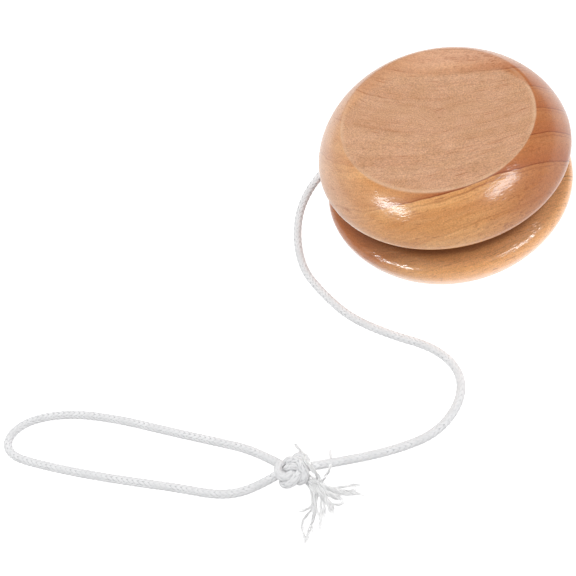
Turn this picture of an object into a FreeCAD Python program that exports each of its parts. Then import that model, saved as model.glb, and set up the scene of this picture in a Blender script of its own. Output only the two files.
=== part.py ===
import FreeCAD, Part
import math
import os

# A turned wooden yo-yo lying on one flat face, with its string.
# Frame: the origin is the centre of the face that it lies on, +Z is the spin axis, upwards.
# Millimetres.

Vector = FreeCAD.Vector

# Driving dimensions of the wooden body
BODY_RADIUS = 28.5
BODY_HEIGHT = 32.0          # over both flat faces
GAP_AT_AXLE = 3.0           # width of the string gap at the axle
# The turned outline of a half is tangent arcs: (radius, slope in degrees where the arc ends)
RIM_ARCS = [(2.4, 34), (17.0, 70), (5.0, 90)]   # from the flat face out to the widest circle
LIP_ARCS = [(13.5, 33.4), (2.6, 90)]            # from the string gap out to the widest circle
SANDED_DROP = 0.185         # the upper face is sanded this far down at its centre
SANDED_SLOPE_Y = 0.011      # and lower towards -Y, by this much per millimetre,
SANDED_SLOPE_X = 0.003      # and towards -X by this much, so that the face ends in a chord on its +Y side

AXLE_RADIUS = 4.0
AXLE_DEPTH = 10.0           # length of the dowel in each half
AXLE_END_ROOM = 0.5         # glue pocket past each end of the dowel
AXLE_CHAMFER = 0.5

# Driving dimensions of the string
STRING_DIAMETER = 1.9
LOOP_CLEARANCE = 0.05       # between the string's loop and the axle, so that the yo-yo can spin
WINDING_RADIUS = 18.0       # centreline of the last turn on the axle
WINDING_WIDTH = 2.1
KNOT_LENGTH = 9.0
KNOT_RADIUS = 2.8
KNOT_END_RADIUS = 1.6
TAIL_FORK_RADIUS = 1.1
YARN_RADIUS = 0.75
YARN_TIP_RADIUS = 0.4

MID_HEIGHT = BODY_HEIGHT / 2
STRING_RADIUS = STRING_DIAMETER / 2
FLOOR = STRING_RADIUS       # height of the string's centreline where it lies on the table

# The string's route from the winding, out of the gap on the -X side, down to the table and to the knot
FREE_ROUTE = [
    (-11.0, 15.4, MID_HEIGHT),
    (-19.5, 11.8, 15.9),
    (-28.0, 7.0, 14.8),
    (-34.8, 2.6, 10.2),
    (-37.8, -4.0, 5.9),
    (-37.5, -12.0, 2.0),
    (-33.5, -19.0, FLOOR),
    (-27.5, -27.5, FLOOR),
    (-19.0, -34.0, FLOOR),
    (-9.0, -39.5, FLOOR),
    (-4.2, -46.5, FLOOR),
    (-5.0, -54.0, FLOOR),
    (-11.0, -60.8, FLOOR),
    (-20.0, -63.2, FLOOR),
    (-30.0, -64.2, 1.2),
    (-38.5, -65.1, 2.6),
]

# The finger loop leaves the knot and comes back to it; its far tip is folded tightly
LOOP_ROUTE = [
    (-45.0, -63.4, 3.0),
    (-50.5, -58.8, 1.6),
    (-58.5, -55.2, FLOOR),
    (-70.0, -50.6, FLOOR),
    (-82.0, -45.5, FLOOR),
    (-94.0, -41.8, FLOOR),
    (-103.5, -41.7, FLOOR),
    (-108.2, -43.9, FLOOR),
    (-109.8, -47.2, FLOOR),
    (-107.9, -50.7, FLOOR),
    (-102.0, -53.5, FLOOR),
    (-92.0, -57.3, FLOOR),
    (-80.0, -61.2, FLOOR),
    (-68.0, -64.7, FLOOR),
    (-57.5, -68.3, FLOOR),
    (-50.0, -67.6, 1.4),
    (-44.5, -65.4, 2.4),
]

KNOT_CENTRE = (-42.5, -64.8, KNOT_RADIUS)
KNOT_AXIS = (1.0, -0.12, 0.0)
TAIL_ROOT = (-40.0, -66.2, 1.8)
TAIL_FORK = (-37.2, -69.2, 1.3)
TAIL_TIPS = [(-28.6, -71.4, 0.9), (-31.5, -73.0, 0.6), (-34.8, -76.3, 0.5)]


def arc_chain(start_radius, start_height, drop_sign, arcs):
    """Tangent arcs in the XZ plane that set off outwards and end upright. Returns edges and the end point."""
    radius = start_radius
    height = start_height
    slope = 0.0
    edges = []
    for arc_radius, end_degrees in arcs:
        end_slope = math.radians(end_degrees)
        places = []
        for turn in (slope, (slope + end_slope) / 2, end_slope):
            outwards = arc_radius * (math.sin(turn) - math.sin(slope))
            downwards = arc_radius * (math.cos(slope) - math.cos(turn))
            places.append(Vector(radius + outwards, 0, height - drop_sign * downwards))
        edges.append(Part.Arc(*places).toShape())
        radius = places[2].x
        height = places[2].z
        slope = end_slope
    return edges, places[2]


def make_upper_half():
    """One half, turned about Z: flat face, rounded rim, lip, inner face and the blind axle hole."""
    inner_height = MID_HEIGHT + GAP_AT_AXLE / 2
    hole_top = inner_height + AXLE_DEPTH + AXLE_END_ROOM
    rim_width = arc_chain(0, 0, 1, RIM_ARCS)[1].x
    lip_width = arc_chain(0, 0, 1, LIP_ARCS)[1].x
    face_radius = BODY_RADIUS - rim_width
    lip_radius = BODY_RADIUS - lip_width
    rim, widest = arc_chain(face_radius, BODY_HEIGHT, 1, RIM_ARCS)
    lip_rise = -arc_chain(0, 0, 1, LIP_ARCS)[1].z
    lip = arc_chain(lip_radius, widest.z - lip_rise, -1, LIP_ARCS)[0]
    gap_width = 2 * (widest.z - lip_rise - MID_HEIGHT)
    print("half: face radius", round(face_radius, 2), "widest at", round(widest.z, 2))
    print("gap: ends at radius", round(lip_radius, 2), "width there", round(gap_width, 2))

    corners = [
        Vector(lip_radius, 0, widest.z - lip_rise),
        Vector(AXLE_RADIUS, 0, inner_height),
        Vector(AXLE_RADIUS, 0, hole_top),
        Vector(0, 0, hole_top),
        Vector(0, 0, BODY_HEIGHT),
        Vector(face_radius, 0, BODY_HEIGHT),
    ]
    edges = rim + lip
    for start, end in zip(corners, corners[1:]):
        edges.append(Part.makeLine(start, end))
    outline = Part.Wire(Part.__sortEdges__(edges))
    return Part.Face(outline).revolve(Vector(0, 0, 0), Vector(0, 0, 1), 360)


def sand_face(half):
    """Takes off what stands above the sanding plane, which is not quite square to the axis."""
    reach = 2 * BODY_RADIUS
    waste = Part.makeBox(2 * reach, 2 * reach, reach)
    upwards = Vector(-SANDED_SLOPE_X, -SANDED_SLOPE_Y, 1)
    waste.Placement = FreeCAD.Placement(
        Vector(0, 0, BODY_HEIGHT - SANDED_DROP),
        FreeCAD.Rotation(Vector(0, 0, 1), upwards),
    ).multiply(FreeCAD.Placement(Vector(-reach, -reach, 0), FreeCAD.Rotation()))
    return half.cut(waste)


def make_axle():
    half_length = GAP_AT_AXLE / 2 + AXLE_DEPTH
    bottom = Vector(0, 0, MID_HEIGHT - half_length)
    dowel = Part.makeCylinder(AXLE_RADIUS, 2 * half_length, bottom)
    end_edges = [e for e in dowel.Edges if e.Closed]
    return dowel.makeChamfer(AXLE_CHAMFER, end_edges)


def make_axle_loop():
    """The string's loop round the axle."""
    ring_radius = AXLE_RADIUS + LOOP_CLEARANCE + STRING_RADIUS
    return Part.makeTorus(ring_radius, STRING_RADIUS, Vector(0, 0, MID_HEIGHT))


def make_winding():
    """The outer shape of all the turns that lie on the axle loop."""
    bottom = Vector(0, 0, MID_HEIGHT - WINDING_WIDTH / 2)
    inner_radius = AXLE_RADIUS + LOOP_CLEARANCE + STRING_DIAMETER
    disc = Part.makeCylinder(WINDING_RADIUS + STRING_RADIUS, WINDING_WIDTH, bottom)
    return disc.cut(Part.makeCylinder(inner_radius, WINDING_WIDTH, bottom))


def rounded_wire(name, route):
    """Straight runs joined by tangent arcs, each as large as its two runs allow."""
    points = [Vector(*p) for p in route]
    edges = []
    radii = []
    last = points[0]
    for before, corner, after in zip(points, points[1:], points[2:]):
        run_in = corner - before
        run_out = after - corner
        tangent_length = 0.45 * min(run_in.Length, run_out.Length)
        half_turn = run_in.getAngle(run_out) / 2
        radius = tangent_length / math.tan(half_turn)
        radii.append(round(radius, 1))
        run_in.normalize()
        run_out.normalize()
        inwards = run_out - run_in
        inwards.normalize()
        arc_start = corner - run_in * tangent_length
        arc_end = corner + run_out * tangent_length
        arc_middle = corner + inwards * (radius / math.cos(half_turn) - radius)
        edges.append(Part.LineSegment(last, arc_start).toShape())
        edges.append(Part.Arc(arc_start, arc_middle, arc_end).toShape())
        last = arc_end
    edges.append(Part.LineSegment(last, points[-1]).toShape())
    wire = Part.Wire(edges)
    print(name, "length", round(wire.Length, 1), "radii", radii)
    return wire


def make_tube(name, route):
    path = rounded_wire(name, route)
    start = Vector(*route[0])
    direction = Vector(*route[1]) - start
    section = Part.Wire(Part.makeCircle(STRING_RADIUS, start, direction))
    tube = path.makePipeShell([section], True, False)
    print(name, "volume over section times length",
          round(tube.Volume / (math.pi * STRING_RADIUS ** 2 * path.Length), 4))
    return tube


def make_knot():
    """The overhand knot as one barrel about its own axis."""
    half = KNOT_LENGTH / 2
    crown = Part.Arc(
        Vector(-half, KNOT_END_RADIUS, 0),
        Vector(0, KNOT_RADIUS, 0),
        Vector(half, KNOT_END_RADIUS, 0),
    ).toShape()
    sides = [
        Part.makeLine(Vector(half, KNOT_END_RADIUS, 0), Vector(half, 0, 0)),
        Part.makeLine(Vector(half, 0, 0), Vector(-half, 0, 0)),
        Part.makeLine(Vector(-half, 0, 0), Vector(-half, KNOT_END_RADIUS, 0)),
    ]
    outline = Part.Wire([crown] + sides)
    knot = Part.Face(outline).revolve(Vector(0, 0, 0), Vector(1, 0, 0), 360)
    knot.Placement = FreeCAD.Placement(
        Vector(*KNOT_CENTRE),
        FreeCAD.Rotation(Vector(1, 0, 0), Vector(*KNOT_AXIS)),
    )
    return knot


def make_stub(start, end, start_radius, end_radius):
    """A tapered length of yarn with a round end."""
    start = Vector(*start)
    end = Vector(*end)
    run = end - start
    cone = Part.makeCone(start_radius, end_radius, run.Length, start, run)
    return cone.fuse(Part.makeSphere(end_radius, end))


def make_frayed_tail():
    """The cut end of the string past the knot, opened into three yarns."""
    tail = make_stub(TAIL_ROOT, TAIL_FORK, STRING_RADIUS, TAIL_FORK_RADIUS)
    for tip in TAIL_TIPS:
        tail = tail.fuse(make_stub(TAIL_FORK, tip, YARN_RADIUS, YARN_TIP_RADIUS))
    return tail.removeSplitter()


def mirrored_half(half):
    """The lower half faces the upper one across the string gap."""
    return half.mirror(Vector(0, 0, MID_HEIGHT), Vector(0, 0, 1))


turned_half = make_upper_half()
PARTS = {
    "upper_half": sand_face(turned_half),
    "lower_half": mirrored_half(turned_half),
    "axle": make_axle(),
    "axle_loop": make_axle_loop(),
    "string_winding": make_winding(),
    "free_string": make_tube("free_string", FREE_ROUTE),
    "knot": make_knot(),
    "finger_loop": make_tube("finger_loop", LOOP_ROUTE),
    "frayed_tail": make_frayed_tail(),
}

os.makedirs("parts", exist_ok=True)
for name, shape in PARTS.items():
    box = shape.BoundBox
    print(name, "solids", len(shape.Solids), "valid", shape.isValid(), "volume", round(shape.Volume, 1),
          "z", round(box.ZMin, 2), round(box.ZMax, 2))
    shape.exportStep(os.path.join("parts", name + ".step"))
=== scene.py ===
import math
from collections import namedtuple

import bpy
import numpy as np
from mathutils import Matrix, Vector


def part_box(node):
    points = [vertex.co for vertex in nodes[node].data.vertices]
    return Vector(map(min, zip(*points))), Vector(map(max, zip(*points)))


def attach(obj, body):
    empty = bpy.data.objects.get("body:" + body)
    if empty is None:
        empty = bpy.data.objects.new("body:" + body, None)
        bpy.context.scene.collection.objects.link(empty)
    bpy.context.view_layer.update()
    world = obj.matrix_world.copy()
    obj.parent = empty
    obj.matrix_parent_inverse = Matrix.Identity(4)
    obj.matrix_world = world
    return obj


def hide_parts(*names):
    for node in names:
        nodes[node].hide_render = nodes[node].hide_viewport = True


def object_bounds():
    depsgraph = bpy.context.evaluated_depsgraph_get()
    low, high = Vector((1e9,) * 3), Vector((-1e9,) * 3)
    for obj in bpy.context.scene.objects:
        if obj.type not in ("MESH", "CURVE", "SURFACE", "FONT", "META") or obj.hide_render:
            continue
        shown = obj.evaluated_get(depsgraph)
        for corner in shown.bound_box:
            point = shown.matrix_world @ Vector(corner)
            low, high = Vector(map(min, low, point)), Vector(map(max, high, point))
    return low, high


# A turned wooden yo-yo with its braided cotton string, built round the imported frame. Lengths are in metres,
# except where a comment says millimetres.

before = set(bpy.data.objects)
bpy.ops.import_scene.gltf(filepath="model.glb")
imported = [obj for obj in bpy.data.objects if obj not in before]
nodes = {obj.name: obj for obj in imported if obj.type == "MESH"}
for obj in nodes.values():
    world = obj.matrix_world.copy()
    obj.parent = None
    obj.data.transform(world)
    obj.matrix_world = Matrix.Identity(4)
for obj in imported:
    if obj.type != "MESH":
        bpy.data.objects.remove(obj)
cad_low, cad_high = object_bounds()

MM = 0.001
STRING = "string"           # the body that all the string's pieces ride on

STRING_DIAMETER = 0.0019
STRING_RADIUS = STRING_DIAMETER / 2
FLOOR = STRING_RADIUS       # the height of the string's middle where it lies on the table
MID_HEIGHT = (cad_low.z + cad_high.z) / 2
AXLE_LOOP_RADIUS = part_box("axle_loop")[1].x - STRING_RADIUS
WINDING_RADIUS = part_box("string_winding")[1].x - STRING_RADIUS

# The route of the free stretch, from the winding down to the table and to the knot
FREE_ROUTE = [
    (-0.0110, 0.0154, MID_HEIGHT),
    (-0.0195, 0.0118, 0.0159),
    (-0.0280, 0.0070, 0.0148),
    (-0.0348, 0.0026, 0.0102),
    (-0.0378, -0.0040, 0.0059),
    (-0.0375, -0.0120, 0.0020),
    (-0.0335, -0.0190, FLOOR),
    (-0.0275, -0.0275, FLOOR),
    (-0.0190, -0.0340, FLOOR),
    (-0.0090, -0.0395, FLOOR),
    (-0.0042, -0.0465, FLOOR),
    (-0.0050, -0.0540, FLOOR),
    (-0.0110, -0.0608, FLOOR),
    (-0.0200, -0.0632, FLOOR),
    (-0.0300, -0.0642, 0.0012),
    (-0.0385, -0.0651, 0.0026),
]

# The finger loop, from the knot round its tightly folded tip and back
LOOP_ROUTE = [
    (-0.0450, -0.0634, 0.0030),
    (-0.0505, -0.0588, 0.0016),
    (-0.0585, -0.0552, FLOOR),
    (-0.0700, -0.0506, FLOOR),
    (-0.0820, -0.0455, FLOOR),
    (-0.0940, -0.0418, FLOOR),
    (-0.1035, -0.0417, FLOOR),
    (-0.1082, -0.0439, FLOOR),
    (-0.1098, -0.0472, FLOOR),
    (-0.1079, -0.0507, FLOOR),
    (-0.1020, -0.0535, FLOOR),
    (-0.0920, -0.0573, FLOOR),
    (-0.0800, -0.0612, FLOOR),
    (-0.0680, -0.0647, FLOOR),
    (-0.0575, -0.0683, FLOOR),
    (-0.0500, -0.0676, 0.0014),
    (-0.0445, -0.0654, 0.0024),
]


# ---------------------------------------------------------------- camera

def make_camera():
    """Looks at a point on the floor, from an azimuth, an elevation and a distance, with some roll."""
    aim = Vector((-0.0416, -0.0156, 0.0))
    azimuth = math.radians(-15.06)
    elevation = math.radians(51.60)
    roll = math.radians(-21.68)
    distance = 0.2576
    forwards = Vector((
        math.sin(azimuth) * math.cos(elevation),
        math.cos(azimuth) * math.cos(elevation),
        -math.sin(elevation),
    ))
    level = forwards.cross(Vector((0, 0, 1))).normalized()
    over = level.cross(forwards)
    rightwards = level * math.cos(roll) + over * math.sin(roll)
    upwards = over * math.cos(roll) - level * math.sin(roll)
    data = bpy.data.cameras.new("camera")
    data.lens = 67.06
    data.clip_start = 0.01
    data.clip_end = 20
    camera = bpy.data.objects.new("camera", data)
    bpy.context.collection.objects.link(camera)
    place = aim - forwards * distance
    axes = Matrix((rightwards, upwards, -forwards)).transposed()
    camera.matrix_world = Matrix.Translation(place) @ axes.to_4x4()
    bpy.context.scene.camera = camera


# ---------------------------------------------------------------- node helpers

def add_node(tree, kind, inputs=None, **settings):
    """Adds a shader node. inputs maps socket names or numbers to values or to other nodes' sockets."""
    made = tree.nodes.new(kind)
    for name, value in settings.items():
        setattr(made, name, value)
    for name, value in (inputs or {}).items():
        if isinstance(value, bpy.types.NodeSocket):
            tree.links.new(value, made.inputs[name])
        else:
            made.inputs[name].default_value = value
    return made


def maths(tree, operation, *values, clamp=False):
    made = add_node(tree, "ShaderNodeMath", dict(enumerate(values)), operation=operation, use_clamp=clamp)
    return made.outputs[0]


def noise(tree, vector, scale, detail=2.0, roughness=0.5):
    """Noise around 0.5, in a space measured in millimetres."""
    inputs = {"Vector": vector, "Scale": scale, "Detail": detail, "Roughness": roughness}
    return add_node(tree, "ShaderNodeTexNoise", inputs).outputs["Fac"]


def remap(tree, value, low, high, to_low=0.0, to_high=1.0, kind="SMOOTHSTEP"):
    """Takes low to high onto to_low to to_high, and stays level outside them."""
    inputs = {"Value": value, "From Min": low, "From Max": high, "To Min": to_low, "To Max": to_high}
    return add_node(tree, "ShaderNodeMapRange", inputs, interpolation_type=kind).outputs["Result"]


def mix_colour(tree, share, first, second):
    """The first colour, with a share of the second in it."""
    inputs = {0: share, 6: first, 7: second}
    return add_node(tree, "ShaderNodeMix", inputs, data_type="RGBA").outputs[2]


def product(tree, *values):
    """Values multiplied together, which are numbers or sockets."""
    result = values[0]
    for value in values[1:]:
        result = maths(tree, "MULTIPLY", result, value)
    return result


def combine(tree, x, y, z):
    return add_node(tree, "ShaderNodeCombineXYZ", {0: x, 1: y, 2: z}).outputs[0]


def new_material(name, settings):
    """A node material with a Principled shader set so. Returns the material, its tree and the shader."""
    material = bpy.data.materials.new(name)
    material.use_nodes = True
    tree = material.node_tree
    tree.nodes.clear()
    shader = add_node(tree, "ShaderNodeBsdfPrincipled", settings)
    add_node(tree, "ShaderNodeOutputMaterial", {0: shader.outputs[0]})
    return material, tree, shader


def add_bump(tree, shader, height, distance, strength, socket="Normal"):
    inputs = {"Height": height, "Distance": distance, "Strength": strength}
    bump = add_node(tree, "ShaderNodeBump", inputs)
    tree.links.new(bump.outputs[0], shader.inputs[socket])


def millimetres(tree):
    """Object coordinates in millimetres, as a vector and as x, y and z."""
    place = tree.nodes.new("ShaderNodeTexCoord").outputs["Object"]
    scaled = add_node(tree, "ShaderNodeVectorMath", {0: place, 3: 1000.0}, operation="SCALE").outputs[0]
    parts = add_node(tree, "ShaderNodeSeparateXYZ", {0: scaled}).outputs
    return scaled, parts[0], parts[1], parts[2]


def linear(red, green, blue):
    """A colour given as screen values of 0 to 255, as the linear one that a shader takes."""
    def one(value):
        share = value / 255
        return share / 12.92 if share < 0.04045 else ((share + 0.055) / 1.055) ** 2.4
    return (one(red), one(green), one(blue), 1.0)


# ---------------------------------------------------------------- wood

# The flat faces in millimetres: the sanding plane of the upper one, and the rounding that it cuts
FACE_HEIGHT = 32.0
MIDDLE = FACE_HEIGHT / 2
SANDED_DROP = 0.185
SANDED_SLOPE_Y = 0.011
SANDED_SLOPE_X = 0.003
FACE_RADIUS = 20.39
EDGE_ARC = 2.4
FACE_DEPTH = 4.0            # how far below its face the wood counts as sanded
TOO_DEEP = -40.0            # puts the wood below that outside the face's edge

# The growth rings' figure, in millimetres: rings run along X, and lean, skew, bow and fan out a little
RING_STEP = 9.0
RING_START = -22.6
RING_LEAN = 0.54
RING_SKEW = 0.17
RING_BOW = -0.0084
RING_FAN = 0.0151
SWIRL_PLACE = (0.5, -1.0)   # a small swirl in the middle of the upper face
SWIRL_SIZE = 3.2
SWIRL_RISE = 3.6
WAVE_RISE = 3.0             # how far the rings wander
RIPPLE_RISE = 0.7

# Colours of the lacquered wood, among them painted sheen, painted light and painted shade
EARLY_WOOD = (linear(204, 140, 82), linear(226, 170, 112))
HEARTWOOD = linear(170, 100, 54)
LATE_WOOD = linear(162, 86, 44)
RING_LINE = linear(132, 64, 30)
# painted sheen: the pale surroundings reflected on the left of the upper rim
PALE_SHEEN = linear(202, 159, 131)
# painted sheen: the bright backdrop reflected on the back of the upper half, lightening it
FAR_SHEEN = (linear(190, 140, 108), linear(208, 164, 138))
# painted light on the right of the lower half
LOWER_PAINTED_LIGHT = linear(250, 184, 122)
# painted shade on the left of the lower half, where the wood is also darker
LOWER_SHADE = linear(174, 96, 50)
# painted shade in the gap between the halves
GAP_SHADE = linear(112, 60, 34)
FLECK = linear(150, 84, 46)
# painted highlight along the edge of the sanded face
EDGE_HIGHLIGHT = linear(218, 182, 150)

# Colours of the sanded faces
SANDED_WOOD = (linear(186, 141, 107), linear(195, 152, 119))
SANDED_LATE = linear(180, 124, 88)
SANDED_LINE = linear(150, 98, 66)
SANDED_MOTTLE = linear(206, 161, 134)
PORE = linear(150, 100, 74)

# Colours of the fibres in both
HAIR = linear(158, 98, 62)
GRAIN = linear(156, 100, 64)
DASH = linear(126, 78, 48)

# A point of the wood in millimetres: as a vector, as x, y and z, and its growth ring
Point = namedtuple("Point", "place x y z level")


def face_inside(tree, x, y, z):
    """How far a point lies inside the edge of its flat face, in millimetres, and below 0 outside it."""
    squares = maths(tree, "ADD", product(tree, x, x), product(tree, y, y))
    radius = maths(tree, "SQRT", squares)
    down_x = maths(tree, "MULTIPLY_ADD", x, -SANDED_SLOPE_X, SANDED_DROP)
    down = maths(tree, "MULTIPLY_ADD", y, -SANDED_SLOPE_Y, down_x)
    cut = product(tree, down, maths(tree, "SUBTRACT", 2 * EDGE_ARC, down))
    reach = maths(tree, "ADD", maths(tree, "SQRT", maths(tree, "MAXIMUM", cut, 0.0)), FACE_RADIUS)
    to_round = maths(tree, "SUBTRACT", reach, radius)
    to_chord = maths(tree, "DIVIDE", down, math.hypot(SANDED_SLOPE_X, SANDED_SLOPE_Y))
    upper = maths(tree, "MINIMUM", to_round, to_chord)
    lower = maths(tree, "SUBTRACT", FACE_RADIUS, radius)
    is_upper = maths(tree, "GREATER_THAN", z, MIDDLE)
    nearest = add_node(tree, "ShaderNodeMix", {0: is_upper, 2: lower, 3: upper}).outputs[0]
    deep = maths(tree, "COMPARE", z, MIDDLE, MIDDLE - FACE_DEPTH)
    return maths(tree, "MULTIPLY_ADD", deep, TOO_DEEP, nearest)


def grain_field(tree, place, x, y, z):
    """A smooth field in millimetres whose level surfaces are the growth rings."""
    skew = maths(tree, "MULTIPLY_ADD", x, RING_BOW, RING_SKEW)
    skew = maths(tree, "MULTIPLY_ADD", y, RING_FAN, skew)
    level = maths(tree, "MULTIPLY_ADD", x, skew, y)
    level = maths(tree, "MULTIPLY_ADD", maths(tree, "SUBTRACT", z, FACE_HEIGHT), RING_LEAN, level)
    off_x = maths(tree, "SUBTRACT", x, SWIRL_PLACE[0])
    off_y = maths(tree, "SUBTRACT", y, SWIRL_PLACE[1])
    apart = maths(tree, "ADD", product(tree, off_x, off_x), product(tree, off_y, off_y))
    swirl = maths(tree, "EXPONENT", maths(tree, "DIVIDE", apart, -SWIRL_SIZE ** 2))
    level = maths(tree, "MULTIPLY_ADD", swirl, SWIRL_RISE, level)
    inputs = {0: place, 1: (0.45, 1.0, 1.0)}
    stretched = add_node(tree, "ShaderNodeVectorMath", inputs, operation="MULTIPLY").outputs[0]
    waves = maths(tree, "SUBTRACT", noise(tree, stretched, 0.09, 2.0, 0.45), 0.5)
    ripples = maths(tree, "SUBTRACT", noise(tree, stretched, 0.5, 2.0, 0.5), 0.5)
    level = maths(tree, "MULTIPLY_ADD", waves, WAVE_RISE, level)
    return maths(tree, "MULTIPLY_ADD", ripples, RIPPLE_RISE, level)


def streaks(tree, at, along, down, scale, detail=2.0, roughness=0.5):
    """Noise drawn out along the rings. along and down say how fast it changes along X and Z."""
    drawn_out = combine(tree, product(tree, at.x, along), at.level, product(tree, at.z, down))
    return noise(tree, drawn_out, scale, detail, roughness)


def late_wood(tree, at):
    """A brown shade on one side of each ring, and the thin dark lines at its edge. Both come and go."""
    from_start = maths(tree, "SUBTRACT", at.level, RING_START)
    phase = maths(tree, "FRACT", maths(tree, "DIVIDE", from_start, RING_STEP))
    line = maths(tree, "ADD", remap(tree, phase, 0.0, 0.04, 1.0, 0.0), remap(tree, phase, 0.97, 1.0))
    second = product(tree, remap(tree, phase, 0.83, 0.86), remap(tree, phase, 0.86, 0.91, 1.0, 0.0))
    strength = product(
        tree,
        remap(tree, noise(tree, at.place, 0.06, 1.0), 0.4, 0.6, 0.55, 1.0),
        remap(tree, at.level, -30.0, -25.0, 0.15, 1.0),
        remap(tree, at.x, -24.0, 10.0, 0.3, 1.2),
        remap(tree, at.z, 14.0, 18.0, 0.5, 1.0),
        remap(tree, at.y, 8.0, 14.0, 1.0, 0.25),
    )
    shade = remap(tree, phase, 0.0, 0.7, 1.0, 0.0, "LINEAR")
    brown = maths(tree, "MULTIPLY", shade, strength, clamp=True)
    lines = product(tree, maths(tree, "MULTIPLY_ADD", second, 0.4, line), strength)
    return brown, product(tree, lines, remap(tree, at.x, -10.0, 12.0, 1.0, 1.6))


def lacquered_colour(tree, at, broad, brown, lines):
    """Light and dark regions of the turned wood under its lacquer, with flecks and ring lines, and painted
    sheen, light and shade: paler at the upper rim's left and back, lighter and darker sides of the lower
    half, and shade in the gap.
    """
    upper = remap(tree, at.z, 14.0, 18.0)
    colour = mix_colour(tree, broad, *EARLY_WOOD)
    heart = product(tree, remap(tree, at.x, 0.0, 20.0, 0.0, 0.85), upper)
    colour = mix_colour(tree, heart, colour, HEARTWOOD)
    colour = mix_colour(tree, brown, colour, LATE_WOOD)

    leftward = maths(tree, "MULTIPLY_ADD", maths(tree, "MAXIMUM", at.y, 0.0), -0.5, at.x)
    # painted sheen, paler towards the left and the back left of the upper rim
    pale = product(tree, remap(tree, leftward, -14.0, -26.0), upper, 0.68)
    colour = mix_colour(tree, pale, colour, PALE_SHEEN)
    # painted sheen towards the back of the upper half
    far = product(tree, remap(tree, at.y, 8.0, 17.0), upper, 0.75)
    colour = mix_colour(tree, far, colour, mix_colour(tree, remap(tree, at.x, -10.0, 2.0), *FAR_SHEEN))
    # painted light and shade on the lower half: lighter towards the right, darker towards the left, where the
    # wood is also darker
    sunny = product(tree, remap(tree, at.x, -22.0, 2.0), remap(tree, at.z, 18.0, 14.0, 0.0, 0.85))
    colour = mix_colour(tree, sunny, colour, LOWER_PAINTED_LIGHT)
    shaded = product(tree, remap(tree, at.x, -8.0, -24.0), remap(tree, at.z, 18.0, 14.0, 0.0, 0.8))
    colour = mix_colour(tree, shaded, colour, LOWER_SHADE)

    flat = {0: combine(tree, at.x, at.y, 0.0)}
    radius = add_node(tree, "ShaderNodeVectorMath", flat, operation="LENGTH").outputs[1]
    # painted shade: darker towards the axle in the gap between the halves
    gap_shade = product(tree, remap(tree, radius, 25.9, 23.9), maths(tree, "COMPARE", at.z, MIDDLE, 8.0), 0.75)
    colour = mix_colour(tree, gap_shade, colour, GAP_SHADE)

    flecks = remap(tree, streaks(tree, at, 0.5, 0.6, 1.7, roughness=0.6), 0.54, 0.66)
    share = product(tree, remap(tree, at.x, -4.0, 14.0, 0.12, 0.5), remap(tree, at.z, 14.0, 18.0, 0.4, 1.0))
    colour = mix_colour(tree, product(tree, flecks, share), colour, FLECK)
    return mix_colour(tree, maths(tree, "MULTIPLY", lines, 0.85, clamp=True), colour, RING_LINE)


def sanded_colour(tree, at, broad, brown, lines, mottle, speckle):
    """The bare faces: duller and paler, mottled, with pores, and with the rings faint in them."""
    colour = mix_colour(tree, broad, *SANDED_WOOD)
    share = remap(tree, at.x, -2.0, -12.0, 0.12, 0.5)
    colour = mix_colour(tree, product(tree, brown, share), colour, SANDED_LATE)
    colour = mix_colour(tree, product(tree, lines, share), colour, SANDED_LINE)
    colour = mix_colour(tree, remap(tree, mottle, 0.35, 0.65, 0.0, 0.35), colour, SANDED_MOTTLE)
    pores = product(tree, remap(tree, speckle, 0.36, 0.28), remap(tree, mottle, 0.5, 0.4, 0.0, 0.4))
    return mix_colour(tree, pores, colour, PORE)


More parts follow.
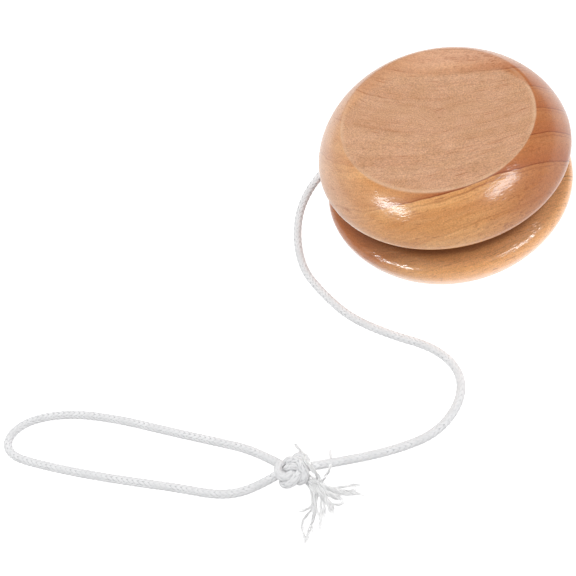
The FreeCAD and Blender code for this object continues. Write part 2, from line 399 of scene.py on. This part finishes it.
def make_wood():
    coat = {"Coat Roughness": 0.17, "Coat IOR": 1.5, "Specular IOR Level": 0.15}
    material, tree, shader = new_material("lacquered_wood", coat)
    place, x, y, z = millimetres(tree)
    at = Point(place, x, y, z, grain_field(tree, place, x, y, z))
    inside = face_inside(tree, x, y, z)
    feather = remap(tree, y, 2.0, 16.0, 0.0, 6.0)
    matte = remap(tree, inside, -0.06, maths(tree, "ADD", feather, 0.06))
    brown, lines = late_wood(tree, at)
    broad = remap(tree, streaks(tree, at, 0.07, 0.3, 0.4, 3.0, 0.6), 0.3, 0.7)
    fine = streaks(tree, at, 0.1, 0.4, 2.2, 3.0, 0.65)
    speckle = noise(tree, place, 3.3, 2.0, 0.7)
    mottle = noise(tree, place, 0.3, 4.0, 0.65)

    lacquered = lacquered_colour(tree, at, broad, brown, lines)
    sanded = sanded_colour(tree, at, broad, brown, lines, mottle, speckle)
    colour = mix_colour(tree, matte, lacquered, sanded)

    # fibres along the rings, in three widths
    hairs = remap(tree, streaks(tree, at, 0.06, 0.3, 3.4, 1.0), 0.62, 0.7)
    hairs = product(tree, hairs, remap(tree, mottle, 0.4, 0.6, 0.2, 1.0), 0.55)
    colour = mix_colour(tree, hairs, colour, HAIR)
    grain = product(tree, remap(tree, fine, 0.5, 0.75), remap(tree, x, -5.0, 15.0, 0.26, 0.42))
    colour = mix_colour(tree, grain, colour, GRAIN)
    dashes = remap(tree, streaks(tree, at, 0.3, 1.0, 2.6), 0.64, 0.74)
    colour = mix_colour(tree, product(tree, dashes, 0.32), colour, DASH)

    swing = maths(tree, "MULTIPLY_ADD", matte, 0.08, 0.16)
    darkest = maths(tree, "SUBTRACT", 1.0, swing)
    brightest = maths(tree, "ADD", 1.0, swing)
    tone = remap(tree, speckle, 0.32, 0.68, darkest, brightest, "LINEAR")
    colour = add_node(tree, "ShaderNodeVectorMath", {0: colour, 3: tone}, operation="SCALE").outputs[0]

    # a thin pale line along the edge of the face, a painted highlight, broken up and fading towards the back
    edge = product(tree, remap(tree, inside, -0.35, 0.1), remap(tree, inside, 0.1, 1.1, 1.0, 0.0))
    broken = remap(tree, noise(tree, place, 0.12, 3.0, 0.6), 0.35, 0.65, 0.1, 0.5)
    edge = product(tree, edge, remap(tree, y, 6.0, 14.0, 1.0, 0.0), broken)
    tree.links.new(mix_colour(tree, edge, colour, EDGE_HIGHLIGHT), shader.inputs["Base Color"])

    rough = add_node(tree, "ShaderNodeMix", {0: matte, 2: 0.38, 3: 0.72}).outputs[0]
    tree.links.new(rough, shader.inputs["Roughness"])
    lacquer = product(
        tree,
        maths(tree, "SUBTRACT", 1.0, matte),
        remap(tree, z, 25.0, 21.0, 0.65, 1.0),
        remap(tree, y, 2.0, 14.0, 1.0, 0.6),
    )
    tree.links.new(lacquer, shader.inputs["Coat Weight"])

    pits = maths(tree, "ADD", product(tree, fine, 0.5), product(tree, speckle, 0.5))
    add_bump(tree, shader, pits, 0.00006, 0.5)
    strokes = streaks(tree, at, 0.35, 1.0, 2.2, 0.0)
    strokes = product(tree, strokes, remap(tree, z, 13.0, 16.0, 2.0, 1.0))
    add_bump(tree, shader, strokes, 0.000036, 1.0, "Coat Normal")
    return material


def make_axle_wood():
    material, tree, shader = new_material("axle_wood", {"Roughness": 0.6})
    _, x, y, z = millimetres(tree)
    fibres = noise(tree, combine(tree, x, y, product(tree, z, 0.12)), 2.5, 3.0, 0.6)
    colour = mix_colour(tree, remap(tree, fibres, 0.35, 0.65), linear(196, 156, 108), linear(222, 186, 140))
    tree.links.new(colour, shader.inputs["Base Color"])
    add_bump(tree, shader, fibres, 0.00005, 0.6)
    return material


# ---------------------------------------------------------------- string

def make_cotton():
    """Bleached cotton, greyer in patches, with painted shade between the strands of the braid."""
    settings = {"Roughness": 0.85, "Specular IOR Level": 0.25, "Sheen Weight": 0.3}
    material, tree, shader = new_material("cotton_string", settings)
    place, _, _, _ = millimetres(tree)
    fibres = noise(tree, place, 7.0, 3.0, 0.7)
    blotch = noise(tree, place, 0.35, 2.0, 0.5)
    colour = mix_colour(tree, remap(tree, blotch, 0.3, 0.7), linear(222, 222, 223), linear(231, 231, 232))
    between_fibres = remap(tree, fibres, 0.55, 0.3, 0.0, 0.25)
    colour = mix_colour(tree, between_fibres, colour, linear(188, 188, 190))
    crevice = add_node(tree, "ShaderNodeAttribute", attribute_name="crevice").outputs["Fac"]
    # painted shade between the strands of the braid, stronger in patches
    crevice_shade = product(tree, remap(tree, crevice, 0.25, 0.8), remap(tree, blotch, 0.4, 0.6, 0.25, 0.85))
    colour = mix_colour(tree, crevice_shade, colour, linear(150, 150, 153))
    tree.links.new(colour, shader.inputs["Base Color"])
    add_bump(tree, shader, fibres, 0.00008, 0.6)
    return material


def make_fibres():
    """Loose cotton fibres, which let some light through, with a faint painted glow that lifts them."""
    material, tree, shader = new_material("cotton_fibres", {
        "Roughness": 0.9, "Specular IOR Level": 0.1, "Sheen Weight": 0.5,
        "Subsurface Weight": 0.6, "Subsurface Radius": (1.0, 1.0, 1.0), "Subsurface Scale": 0.0006,
        # a faint white emission: a painted glow
        "Emission Color": (1, 1, 1, 1), "Emission Strength": 0.03,
    })
    place, _, _, _ = millimetres(tree)
    fibres = noise(tree, place, 5.0, 3.0, 0.6)
    colour = mix_colour(tree, remap(tree, fibres, 0.3, 0.7), linear(240, 240, 240), linear(250, 250, 250))
    tree.links.new(colour, shader.inputs["Base Color"])
    add_bump(tree, shader, fibres, 0.00003, 0.5)
    return material


def spline_points(name, points, resolution=24):
    """The smooth line that a NURBS spline makes of its control points, as an array."""
    curve = bpy.data.curves.new(name, "CURVE")
    curve.dimensions = "3D"
    curve.resolution_u = resolution
    spline = curve.splines.new("NURBS")
    spline.points.add(len(points) - 1)
    for made, point in zip(spline.points, points):
        made.co = (*point, 1)
    spline.order_u = 3
    spline.use_endpoint_u = True
    holder = bpy.data.objects.new(name, curve)
    bpy.context.collection.objects.link(holder)
    bpy.context.view_layer.update()
    smooth = holder.evaluated_get(bpy.context.evaluated_depsgraph_get())
    mesh = bpy.data.meshes.new_from_object(smooth)
    line = np.array([vertex.co for vertex in mesh.vertices])
    bpy.data.meshes.remove(mesh)
    bpy.data.objects.remove(holder)
    bpy.data.curves.remove(curve)
    return line


def lengths_along(line):
    """How far along a line each of its points lies."""
    return np.concatenate([[0], np.cumsum(np.linalg.norm(np.diff(line, axis=0), axis=1))])


def spaced(line, places):
    """Points of a line at the given lengths along it."""
    along = lengths_along(line)
    return np.stack([np.interp(places, along, line[:, k]) for k in range(3)], 1)


def frames(line):
    """Two cross directions for each point of a line, carried along without twist."""
    tangents = np.gradient(line, axis=0)
    tangents /= np.linalg.norm(tangents, axis=1)[:, None]
    side = np.cross((0, 0, 1), tangents[0])
    side /= np.linalg.norm(side)
    sides = []
    for tangent in tangents:
        side = side - tangent * (side @ tangent)
        side = side / np.linalg.norm(side)
        sides.append(side)
    sides = np.array(sides)
    return sides, np.cross(tangents, sides)


BRAID_COLUMNS = 8           # half columns round the string, leaning to and fro
BRAID_PITCH = 0.0013        # along the string, from one strand to the next
BRAID_LEAN = 0.75           # how many pitches a strand climbs across its column
BRAID_DEPTH = 0.0002
SEGMENTS = 32               # round a tube


def braid_height(turn, along):
    """How far the braid stands out from the string's round surface, or sinks into it.

    turn is the angle round the string, in turns, and along is the length along it, in metres.
    """
    column = turn * BRAID_COLUMNS
    number = np.floor(column)
    across = (column - number) * 2 - 1
    lean = np.where(number % 2 == 0, 1.0, -1.0)
    shift = np.where(np.isin(number % 4, (1, 2)), 0.5, 0.0)
    phase = along / BRAID_PITCH - lean * across * BRAID_LEAN / 2 - shift
    ridge = (phase - np.round(phase)) * 2
    strand = np.sqrt(np.maximum(0, 1 - 0.9 * ridge ** 2))
    edge = np.sqrt(np.maximum(0, 1 - 0.7 * across ** 2))
    return BRAID_DEPTH * (strand * edge - 0.8)


def tube(name, line, radius, material, closed=False, twist=0.0, taper=0.0):
    """A braided tube round a line. taper is the length over which it narrows to its far end."""
    along = lengths_along(line)
    sides, ups = frames(line)
    turns = np.arange(SEGMENTS) / SEGMENTS
    grid_turn = turns[None, :] + twist * along[:, None]
    height = braid_height(grid_turn % 1.0, along[:, None])
    reach = radius + height
    # how deep a point lies between the strands, which the cotton darkens as painted shade
    crevice = 0.2 - height / BRAID_DEPTH
    if taper:
        left = np.clip((along[-1] - along) / taper, 0, 1)
        reach = reach * np.sqrt(0.05 + 0.95 * left)[:, None]
    angle = (grid_turn * 2 * math.pi)[..., None]
    outwards = np.cos(angle) * sides[:, None, :] + np.sin(angle) * ups[:, None, :]
    rings = line[:, None, :] + reach[..., None] * outwards
    count = len(line)
    vertices = rings.reshape(-1, 3)
    faces = []
    for ring in range(count if closed else count - 1):
        here = ring * SEGMENTS
        ahead = (ring + 1) % count * SEGMENTS
        for segment in range(SEGMENTS):
            following = (segment + 1) % SEGMENTS
            faces.append((here + segment, here + following, ahead + following, ahead + segment))
    if not closed:
        faces.append(tuple(reversed(range(SEGMENTS))))
        faces.append(tuple((count - 1) * SEGMENTS + k for k in range(SEGMENTS)))
    piece = add_mesh(name, vertices, faces, material)
    attribute = piece.data.attributes.new("crevice", "FLOAT", "POINT")
    attribute.data.foreach_set("value", crevice.reshape(-1).clip(0, 1))
    return piece


def add_mesh(name, vertices, faces, material):
    mesh = bpy.data.meshes.new(name)
    mesh.from_pydata([tuple(v) for v in vertices], [], faces)
    mesh.materials.append(material)
    mesh.update()
    mesh.shade_smooth()
    piece = bpy.data.objects.new(name, mesh)
    bpy.context.collection.objects.link(piece)
    return piece


# The turns on the axle
COIL_POINTS = 16            # to a turn
COIL_START = AXLE_LOOP_RADIUS
COIL_PITCH = 0.00167        # the turns lie in each other's hollows, so this is under a diameter
COIL_SWAY = 0.0004
LEAVING_ANGLE = math.radians(116)


def winding_points():
    """The turns on the axle, from the axle loop out to where the free stretch leaves."""
    turns = (WINDING_RADIUS - COIL_START) / COIL_PITCH
    count = int(turns * COIL_POINTS)
    widen = 1 / math.cos(math.pi / COIL_POINTS)
    points = []
    for k in range(count + 1):
        angle = LEAVING_ANGLE - (count - k) * 2 * math.pi / COIL_POINTS
        radius = (COIL_START + (WINDING_RADIUS - COIL_START) * k / count) * widen
        height = MID_HEIGHT + COIL_SWAY * math.sin(angle / 2)
        points.append((radius * math.cos(angle), radius * math.sin(angle), height))
    return points


# From one ring of a tube's points to the next
VISIBLE_STEP = 0.00014
WOUND_STEP = 0.0005


def fine_path(line):
    """Points of a line at small even steps, up to its end, and its length."""
    total = lengths_along(line)[-1]
    return spaced(line, np.append(np.arange(0, total, VISIBLE_STEP), total)), total


def make_string(cotton):
    """The turns on the axle and the free stretch, in one. Returns the piece, its path and its length."""
    wound = winding_points()
    line = spline_points("string_line", wound + FREE_ROUTE)
    total = lengths_along(line)[-1]
    free_length = lengths_along(spline_points("free_line", [wound[-1]] + FREE_ROUTE))[-1]
    places = np.concatenate([
        np.arange(0, total - free_length, WOUND_STEP),
        np.arange(total - free_length, total, VISIBLE_STEP),
        [total],
    ])
    path = spaced(line, places)
    piece = tube("string", path, STRING_RADIUS, cotton, twist=6.0)
    return piece, path, total


def make_loop(cotton):
    """The finger loop. Returns the piece, its path and its length."""
    path, total = fine_path(spline_points("loop_line", LOOP_ROUTE))
    return tube("finger_loop_string", path, STRING_RADIUS, cotton, twist=-4.0), path, total


def make_axle_loop(cotton):
    """One turn round the axle, inside the others."""
    count = 220
    angles = np.arange(count) * 2 * math.pi / count
    circle = np.stack([
        AXLE_LOOP_RADIUS * np.cos(angles),
        AXLE_LOOP_RADIUS * np.sin(angles),
        np.full(count, MID_HEIGHT),
    ], 1)
    return tube("axle_string_loop", circle, STRING_RADIUS, cotton, closed=True)


# ---------------------------------------------------------------- knot

# In millimetres. The string is doubled back on itself and tied in an overhand knot, so two strands run
# through it: from the free stretch to one side of the finger loop, and from its other side to the tail.
KNOT_MIDDLE = (-41.8, -65.3, 6.0)
KNOT_ENDS = [
    ((-45.0, -63.4, 3.0), (5.5, -4.6, 1.0)),    # one side of the finger loop, and the way in from there
    ((-38.5, -65.1, 2.6), (-8.5, -0.9, 1.0)),   # the free stretch
    ((-44.5, -65.4, 2.4), (5.5, 2.2, 0.8)),     # the loop's other side
    ((-39.4, -66.8, 1.7), (-0.6, 0.75, 0.2)),   # the tail
]
TAIL_START = [(-38.8, -67.5, 1.6), (-38.2, -68.2, 1.5), (-37.6, -68.8, 1.35)]
KNOT_TILT = math.radians(240)
KNOT_SIZE = (2.1, 1.9, 0.42)
STRAND_LENGTH = 30.0
BEADS = 60                  # to a strand
HELD_BEADS = 3              # at each end of a strand
SQUEEZE = 0.74              # how near two strands' middles come, in diameters
TABLE = 0.9                 # the lowest that a strand's middle lies
SETTLED_HEIGHT = 2.8        # of the knot's middle
TIGHTENING = 1500           # steps
ROUNDS = 6                  # of corrections in each step
SINKING = 0.004             # towards SETTLED_HEIGHT, in each step
SPACING_SHARE = 0.3         # of a wrong spacing, made good at each of its two beads in one round
BENDING_SHARE = 0.05        # of a bend, straightened in one round
THICKNESS = STRING_DIAMETER * 1000


def loose_knot():
    """The two strands of a wide overhand knot side by side, before it is drawn tight."""
    turn = np.linspace(-2.12, 2.12, 500)
    line = np.stack([
        KNOT_SIZE[0] * (turn ** 3 - 3 * turn),
        -KNOT_SIZE[1] * (turn ** 4 - 4 * turn ** 2 + 2),
        KNOT_SIZE[2] * (turn ** 5 - 10 * turn),
    ], 1)
    line = spaced(line, np.linspace(0, lengths_along(line)[-1], 800))
    line -= line.mean(axis=0)
    cosine, sine = math.cos(KNOT_TILT), math.sin(KNOT_TILT)
    line = line @ np.array([[1, 0, 0], [0, cosine, sine], [0, -sine, cosine]])
    _, ups = frames(line)
    return [spaced(side, np.linspace(0, lengths_along(side)[-1], BEADS)) + KNOT_MIDDLE
            for side in (line + ups, line - ups)]


def held_ends(upper, lower, reach):
    """The beads held at the ends of both strands, and the places that they are drawn to."""
    outer_beads = ((upper, 1), (upper + BEADS - 1, -1), (lower, 1), (lower + BEADS - 1, -1))
    held, homes = [], []
    for (bead, step), (end, inwards) in zip(outer_beads, KNOT_ENDS):
        inwards = np.array(inwards) / np.linalg.norm(inwards)
        for k in range(HELD_BEADS):
            held.append(bead + step * k)
            homes.append(np.array(end) + inwards * reach * k)
    return held, np.array(homes)


def settle(beads, links, bends, one, other, length):
    """Moves the beads towards an even spacing and gentle bends, and the beads one and other apart."""
    gap = beads[links + 1] - beads[links]
    span = np.linalg.norm(gap, axis=1) + 1e-9
    pull = gap * (SPACING_SHARE * (span - length) / span)[:, None]
    np.add.at(beads, links, pull)
    np.add.at(beads, links + 1, -pull)
    beads[bends] += BENDING_SHARE * ((beads[bends - 1] + beads[bends + 1]) / 2 - beads[bends])
    gap = beads[other] - beads[one]
    span = np.linalg.norm(gap, axis=1) + 1e-9
    push = gap * (0.5 * np.maximum(0, THICKNESS * SQUEEZE - span) / span)[:, None]
    touching = span < THICKNESS * SQUEEZE
    contacts = np.zeros(2 * BEADS)
    moved = np.zeros_like(beads)
    np.add.at(contacts, one, touching)
    np.add.at(contacts, other, touching)
    np.add.at(moved, one, -push)
    np.add.at(moved, other, push)
    beads += moved / np.sqrt(np.maximum(contacts, 1))[:, None]
    beads[:, 2] = np.maximum(beads[:, 2], TABLE)


def tie_knot():
    """Draws the loose knot tight between its four ends. Its strands are beads that rest on each other."""
    beads = np.vstack(loose_knot())
    if beads[0, 0] > beads[BEADS - 1, 0]:
        beads = np.vstack([beads[:BEADS][::-1], beads[BEADS:][::-1]])
    reach = STRAND_LENGTH / (BEADS - 1)
    slack = lengths_along(beads[:BEADS])[-1] / (BEADS - 1)
    upper = 0 if beads[0, 1] >= beads[BEADS, 1] else BEADS
    lower = BEADS - upper
    held, homes = held_ends(upper, lower, reach)
    starts = beads[held].copy()
    links = np.concatenate([np.arange(BEADS - 1), np.arange(BEADS - 1) + BEADS])
    bends = np.concatenate([np.arange(1, BEADS - 1), np.arange(1, BEADS - 1) + BEADS])
    first, second = np.triu_indices(2 * BEADS, 1)
    for step in range(TIGHTENING):
        drawn = min(1, 2 * step / TIGHTENING)
        drawn = drawn * drawn * (3 - 2 * drawn)
        length = slack + (reach - slack) * min(1, step / (0.7 * TIGHTENING))
        apart = np.linalg.norm(beads[second] - beads[first], axis=1)
        crossing = (first < BEADS) != (second < BEADS)
        crossing |= second - first > math.ceil(2.2 * THICKNESS / length)
        near = crossing & (apart < 1.6 * THICKNESS)
        beads[:, 2] -= SINKING * drawn * (beads[:, 2] - SETTLED_HEIGHT)
        for _ in range(ROUNDS):
            settle(beads, links, bends, first[near], second[near], length)
            beads[held] = starts * (1 - drawn) + homes * drawn
    tail = np.vstack([beads[lower:lower + BEADS], TAIL_START])
    return beads[upper:upper + BEADS] * MM, tail * MM


def make_knot(cotton):
    """The knot's two strands. The second narrows where it frays into the tail."""
    pieces = []
    for name, taper, beads in zip(("knot_strand_a", "knot_strand_b"), (0.0, 0.0016), tie_knot()):
        path, _ = fine_path(spline_points(name, beads))
        pieces.append(tube(name, path, STRING_RADIUS, cotton, taper=taper))
    return pieces


# ---------------------------------------------------------------- frayed tail

# Lines in millimetres: three stubs of yarn, loose threads round them, and the roots
# where they leave the knot
STUBS = [
    [(-39.6, -66.6, 1.8), (-37.6, -68.2, 1.9), (-36.2, -69.3, 1.5), (-34.3, -70.3, 1.1), (-32.2, -71.2, 0.9),
     (-29.7, -71.5, 0.8), (-28.0, -71.2, 0.8)],
    [(-39.6, -66.8, 1.5), (-37.9, -68.2, 1.5), (-36.5, -69.7, 1.3), (-35.4, -70.8, 1.0), (-33.3, -72.0, 0.8),
     (-31.2, -72.8, 0.7)],
    [(-39.8, -66.8, 1.3), (-38.2, -68.2, 1.2), (-37.0, -70.2, 1.1), (-35.7, -72.1, 0.9), (-34.7, -73.5, 0.8),
     (-34.4, -74.7, 0.7), (-35.1, -76.1, 0.6)],
]
THREADS = [
    [(-38.9, -67.2, 1.6), (-36.9, -68.8, 1.5), (-35.9, -68.4, 2.5), (-37.1, -67.0, 4.9), (-38.6, -64.0, 4.3),
     (-40.9, -59.4, 2.0), (-42.3, -57.2, 0.7)],
    [(-38.9, -67.0, 1.9), (-37.4, -67.8, 1.9), (-36.5, -68.0, 2.7), (-37.3, -67.0, 5.0), (-38.7, -64.6, 4.6),
     (-40.3, -60.7, 2.4)],
    [(-39.0, -67.4, 1.3), (-37.4, -68.6, 1.2), (-36.0, -68.3, 1.2), (-35.0, -67.3, 1.9), (-34.0, -66.3, 2.6),
     (-33.7, -64.4, 2.3), (-34.0, -61.3, 1.0), (-34.2, -59.5, 0.4)],
    [(-38.2, -68.0, 1.6), (-36.1, -69.6, 1.4), (-32.8, -70.0, 0.9), (-31.1, -69.7, 0.5), (-26.6, -69.6, 0.3)],
    [(-33.5, -71.0, 0.9), (-31.5, -71.6, 0.8), (-28.3, -71.7, 0.4), (-27.1, -72.1, 0.3)],
    [(-38.3, -68.0, 1.6), (-38.2, -69.2, 0.9), (-38.7, -71.5, 0.4), (-38.4, -73.6, 0.4), (-38.4, -75.3, 0.3),
     (-39.2, -77.7, 0.3), (-39.1, -79.9, 0.3)],
    [(-37.9, -68.0, 1.6), (-37.6, -69.3, 0.9), (-38.0, -72.0, 0.4), (-37.7, -74.4, 0.4), (-36.9, -76.4, 0.3),
     (-37.1, -77.2, 0.3), (-38.0, -80.2, 0.3)],
    [(-38.9, -68.0, 1.2), (-38.6, -69.6, 0.8), (-38.4, -72.4, 0.4), (-38.5, -73.7, 0.5), (-39.6, -74.5, 0.4),
     (-41.1, -76.4, 0.3), (-40.8, -79.0, 0.3), (-40.3, -80.4, 0.3), (-40.1, -82.3, 0.3)],
    [(-38.4, -68.2, 1.3), (-38.1, -69.7, 0.9), (-37.8, -72.5, 0.5), (-38.1, -75.1, 0.4), (-39.2, -77.4, 0.4),
     (-40.1, -79.6, 0.3), (-40.4, -82.0, 0.4)],
    [(-38.5, -67.6, 1.4), (-38.1, -68.8, 1.0), (-38.1, -71.7, 0.4), (-38.6, -73.1, 0.4), (-39.9, -73.7, 0.4),
     (-42.1, -73.7, 0.3), (-43.0, -73.9, 0.3)],
    [(-37.3, -68.6, 1.3), (-36.5, -69.9, 0.9), (-36.6, -72.2, 0.5), (-36.9, -74.5, 0.3), (-36.7, -76.2, 0.3),
     (-36.0, -76.8, 0.3)],
    [(-37.0, -69.3, 1.2), (-36.1, -71.3, 0.7), (-35.9, -73.6, 0.4), (-36.3, -75.4, 0.3), (-36.6, -76.4, 0.3)],
    [(-37.6, -68.7, 1.1), (-37.1, -70.2, 0.7), (-37.6, -71.4, 0.4), (-37.6, -72.7, 0.3), (-36.9, -72.9, 0.3)],
    [(-35.6, -72.0, 0.8), (-35.0, -72.8, 0.6), (-33.3, -73.7, 0.4), (-32.0, -73.2, 0.3), (-31.2, -72.5, 0.3)],
]
ROOTS = [
    [(-40.0, -66.2, 2.2), (-38.6, -67.4, 2.2), (-37.4, -68.3, 1.7), (-36.2, -69.0, 1.3), (-34.6, -69.8, 1.0)],
    [(-40.2, -66.6, 1.2), (-39.0, -67.8, 1.1), (-38.2, -69.2, 0.9), (-37.5, -70.8, 0.7), (-36.9, -72.0, 0.6)],
    [(-40.0, -66.4, 1.8), (-38.6, -67.8, 1.6), (-37.2, -69.2, 1.3), (-36.0, -70.8, 1.0), (-34.9, -72.2, 0.7)],
]

# In metres
FIBRE_RADIUS = 0.00009
FIBRE_SWAY = 0.00009
FIBRE_STEP = 0.00035
STUB_RADIUS = 0.00048
ROOT_RADIUS = 0.0006
THREAD_RADIUS = 0.0002
STUB_FIBRES = 26
THREAD_FIBRES = 9


def fibre(vertices, faces, line, radius, sides=6):
    """Adds a thin round fibre along a line, drawn to a point at its end."""
    across, ups = frames(line)
    base = len(vertices)
    count = len(line)
    for k, point in enumerate(line):
        thin = radius * min(1.0, 0.25 + 0.25 * (count - 1 - k))
        for side in range(sides):
            angle = 2 * math.pi * side / sides
            vertices.append(point + thin * (math.cos(angle) * across[k] + math.sin(angle) * ups[k]))
    for k in range(count - 1):
        for side in range(sides):
            following = (side + 1) % sides
            here = base + k * sides
            ahead = here + sides
            faces.append((here + side, here + following, ahead + following, ahead + side))
    faces.append(tuple(base + side for side in reversed(range(sides))))
    faces.append(tuple(base + (count - 1) * sides + side for side in range(sides)))


def bundle_line(points):
    return spline_points("bundle_line", [tuple(MM * c for c in point) for point in points], 12)


def bundle(vertices, faces, chance, points, fibres, radius, twist, spread):
    """Fibres twisted round a given line. They part a little towards its end."""
    line = bundle_line(points)
    total = lengths_along(line)[-1]
    line = spaced(line, np.linspace(0, total, max(8, int(total / FIBRE_STEP))))
    across, ups = frames(line)
    share = np.linspace(0, 1, len(line))
    for k in range(fibres):
        angle = 2 * math.pi * (k / fibres + twist * share * total) + chance.uniform(-0.3, 0.3)
        away = radius * chance.uniform(0.75, 1.1) * (1 + spread * share ** 3 * chance.uniform(0.2, 1.6))
        sway = FIBRE_SWAY * np.sin(2 * math.pi * (share * chance.uniform(1.5, 4) + chance.random()))
        sideways = (away * np.cos(angle))[:, None] * across
        upwards = (away * np.sin(angle) + sway)[:, None] * ups
        end = int(len(line) * chance.uniform(0.86, 1.0))
        path = (line + sideways + upwards)[:max(6, end)]
        path[:, 2] = np.maximum(path[:, 2], FIBRE_RADIUS)
        fibre(vertices, faces, path, FIBRE_RADIUS * chance.uniform(0.8, 1.25))


def make_tail(fibres):
    """The frayed end: each stub is fibres round a core, and the roots and threads are fibres alone."""
    chance = np.random.default_rng(7)
    vertices, faces = [], []
    for points in STUBS:
        core = bundle_line(points)
        core = core[:int(len(core) * 0.95)]
        fibre(vertices, faces, core, STUB_RADIUS, 10)
        bundle(vertices, faces, chance, points, STUB_FIBRES, STUB_RADIUS, 160.0, 0.5)
    for points in ROOTS:
        bundle(vertices, faces, chance, points, STUB_FIBRES, ROOT_RADIUS, 60.0, 0.3)
    for points in THREADS:
        bundle(vertices, faces, chance, points, THREAD_FIBRES, THREAD_RADIUS, 200.0, 1.0)
    return add_mesh("frayed_fibres", vertices, faces, fibres)


# ---------------------------------------------------------------- studio

def area_light(name, place, target, width, height, power):
    data = bpy.data.lights.new(name, "AREA")
    data.shape = "RECTANGLE"
    data.size = width
    data.size_y = height
    data.energy = power
    lamp = bpy.data.objects.new(name, data)
    bpy.context.collection.objects.link(lamp)
    lamp.location = place
    lamp.rotation_mode = "QUATERNION"
    lamp.rotation_quaternion = (Vector(target) - Vector(place)).to_track_quat("-Z", "Y")
    return lamp


WORLD_LIGHT = 0.32
SOFTBOX_TINT = (0.84, 0.94, 1.0)
SOFTBOX_DISTANCE = 0.6
FLOOR_SIDE = 15.0
FLOOR_LEVEL = -0.00003      # just under the object, so that the two surfaces don't meet


def make_world():
    """An even pale light all round, which the camera sees as white."""
    world = bpy.data.worlds.new("world")
    world.use_nodes = True
    tree = world.node_tree
    background = tree.nodes["Background"]
    background.inputs["Color"].default_value = (1, 1, 1, 1)
    seen = tree.nodes.new("ShaderNodeLightPath").outputs["Is Camera Ray"]
    power = maths(tree, "MULTIPLY_ADD", seen, 1 - WORLD_LIGHT, WORLD_LIGHT)
    tree.links.new(power, background.inputs["Strength"])
    bpy.context.scene.world = world


def make_lights():
    """Two softboxes for the highlights on the lacquer, a large one overhead and a weak fill."""
    left = Vector((-0.725, -0.487, 0.474)) * SOFTBOX_DISTANCE
    right = Vector((0.644, -0.506, 0.590)) * SOFTBOX_DISTANCE
    left_spot = Vector((-0.0128, -0.0209, 0.0292))
    right_spot = Vector((0.0115, -0.0210, 0.0297))
    for lamp in (
        area_light("left_softbox", left_spot + left, left_spot, 0.28, 0.11, 2.3),
        area_light("right_softbox", right_spot + right, right_spot, 0.3, 0.12, 2.1),
    ):
        lamp.visible_diffuse = False
        lamp.data.color = SOFTBOX_TINT
    for lamp in (
        area_light("overhead_softbox", (-0.12, -0.02, 0.9), (-0.03, -0.02, 0), 0.55, 0.55, 7.2),
        area_light("side_fill", (0.55, -0.05, 0.15), (0.02, -0.01, 0.01), 0.4, 0.2, 0.9),
    ):
        lamp.visible_glossy = False


def make_floor():
    """White paper, evenly lit."""
    material, tree, shader = new_material("paper_floor", {
        "Roughness": 0.9, "Specular IOR Level": 0.1,
        "Emission Color": (1, 1, 1, 1), "Emission Strength": 0.95,
    })
    paper, _, _, _ = millimetres(tree)
    cloud = noise(tree, paper, 0.02)
    colour = mix_colour(tree, cloud, (0.3, 0.3, 0.3, 1), (0.32, 0.32, 0.32, 1))
    tree.links.new(colour, shader.inputs["Base Color"])
    signs = ((-1, -1), (1, -1), (1, 1), (-1, 1))
    corners = [(x * FLOOR_SIDE, y * FLOOR_SIDE, FLOOR_LEVEL) for x, y in signs]
    floor = add_mesh("floor", corners, [(0, 1, 2, 3)], material)


def make_studio():
    make_world()
    make_lights()
    make_floor()
    view = bpy.context.scene.view_settings
    view.view_transform = "Standard"
    view.look = "None"


# ---------------------------------------------------------------- the model

make_camera()
make_studio()
wood = make_wood()
for name, material in (("upper_half", wood), ("lower_half", wood), ("axle", make_axle_wood())):
    nodes[name].data.materials.clear()
    nodes[name].data.materials.append(material)

cotton = make_cotton()
string, string_path, string_length = make_string(cotton)
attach(string, STRING)
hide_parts("string_winding", "free_string")
loop, loop_path, loop_length = make_loop(cotton)
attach(loop, STRING)
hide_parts("finger_loop")
axle_loop = make_axle_loop(cotton)
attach(axle_loop, STRING)
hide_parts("axle_loop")
knot_a, knot_b = make_knot(cotton)
tail = make_tail(make_fibres())
for piece in (knot_a, knot_b, tail):
    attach(piece, STRING)
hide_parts("knot")
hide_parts("frayed_tail")
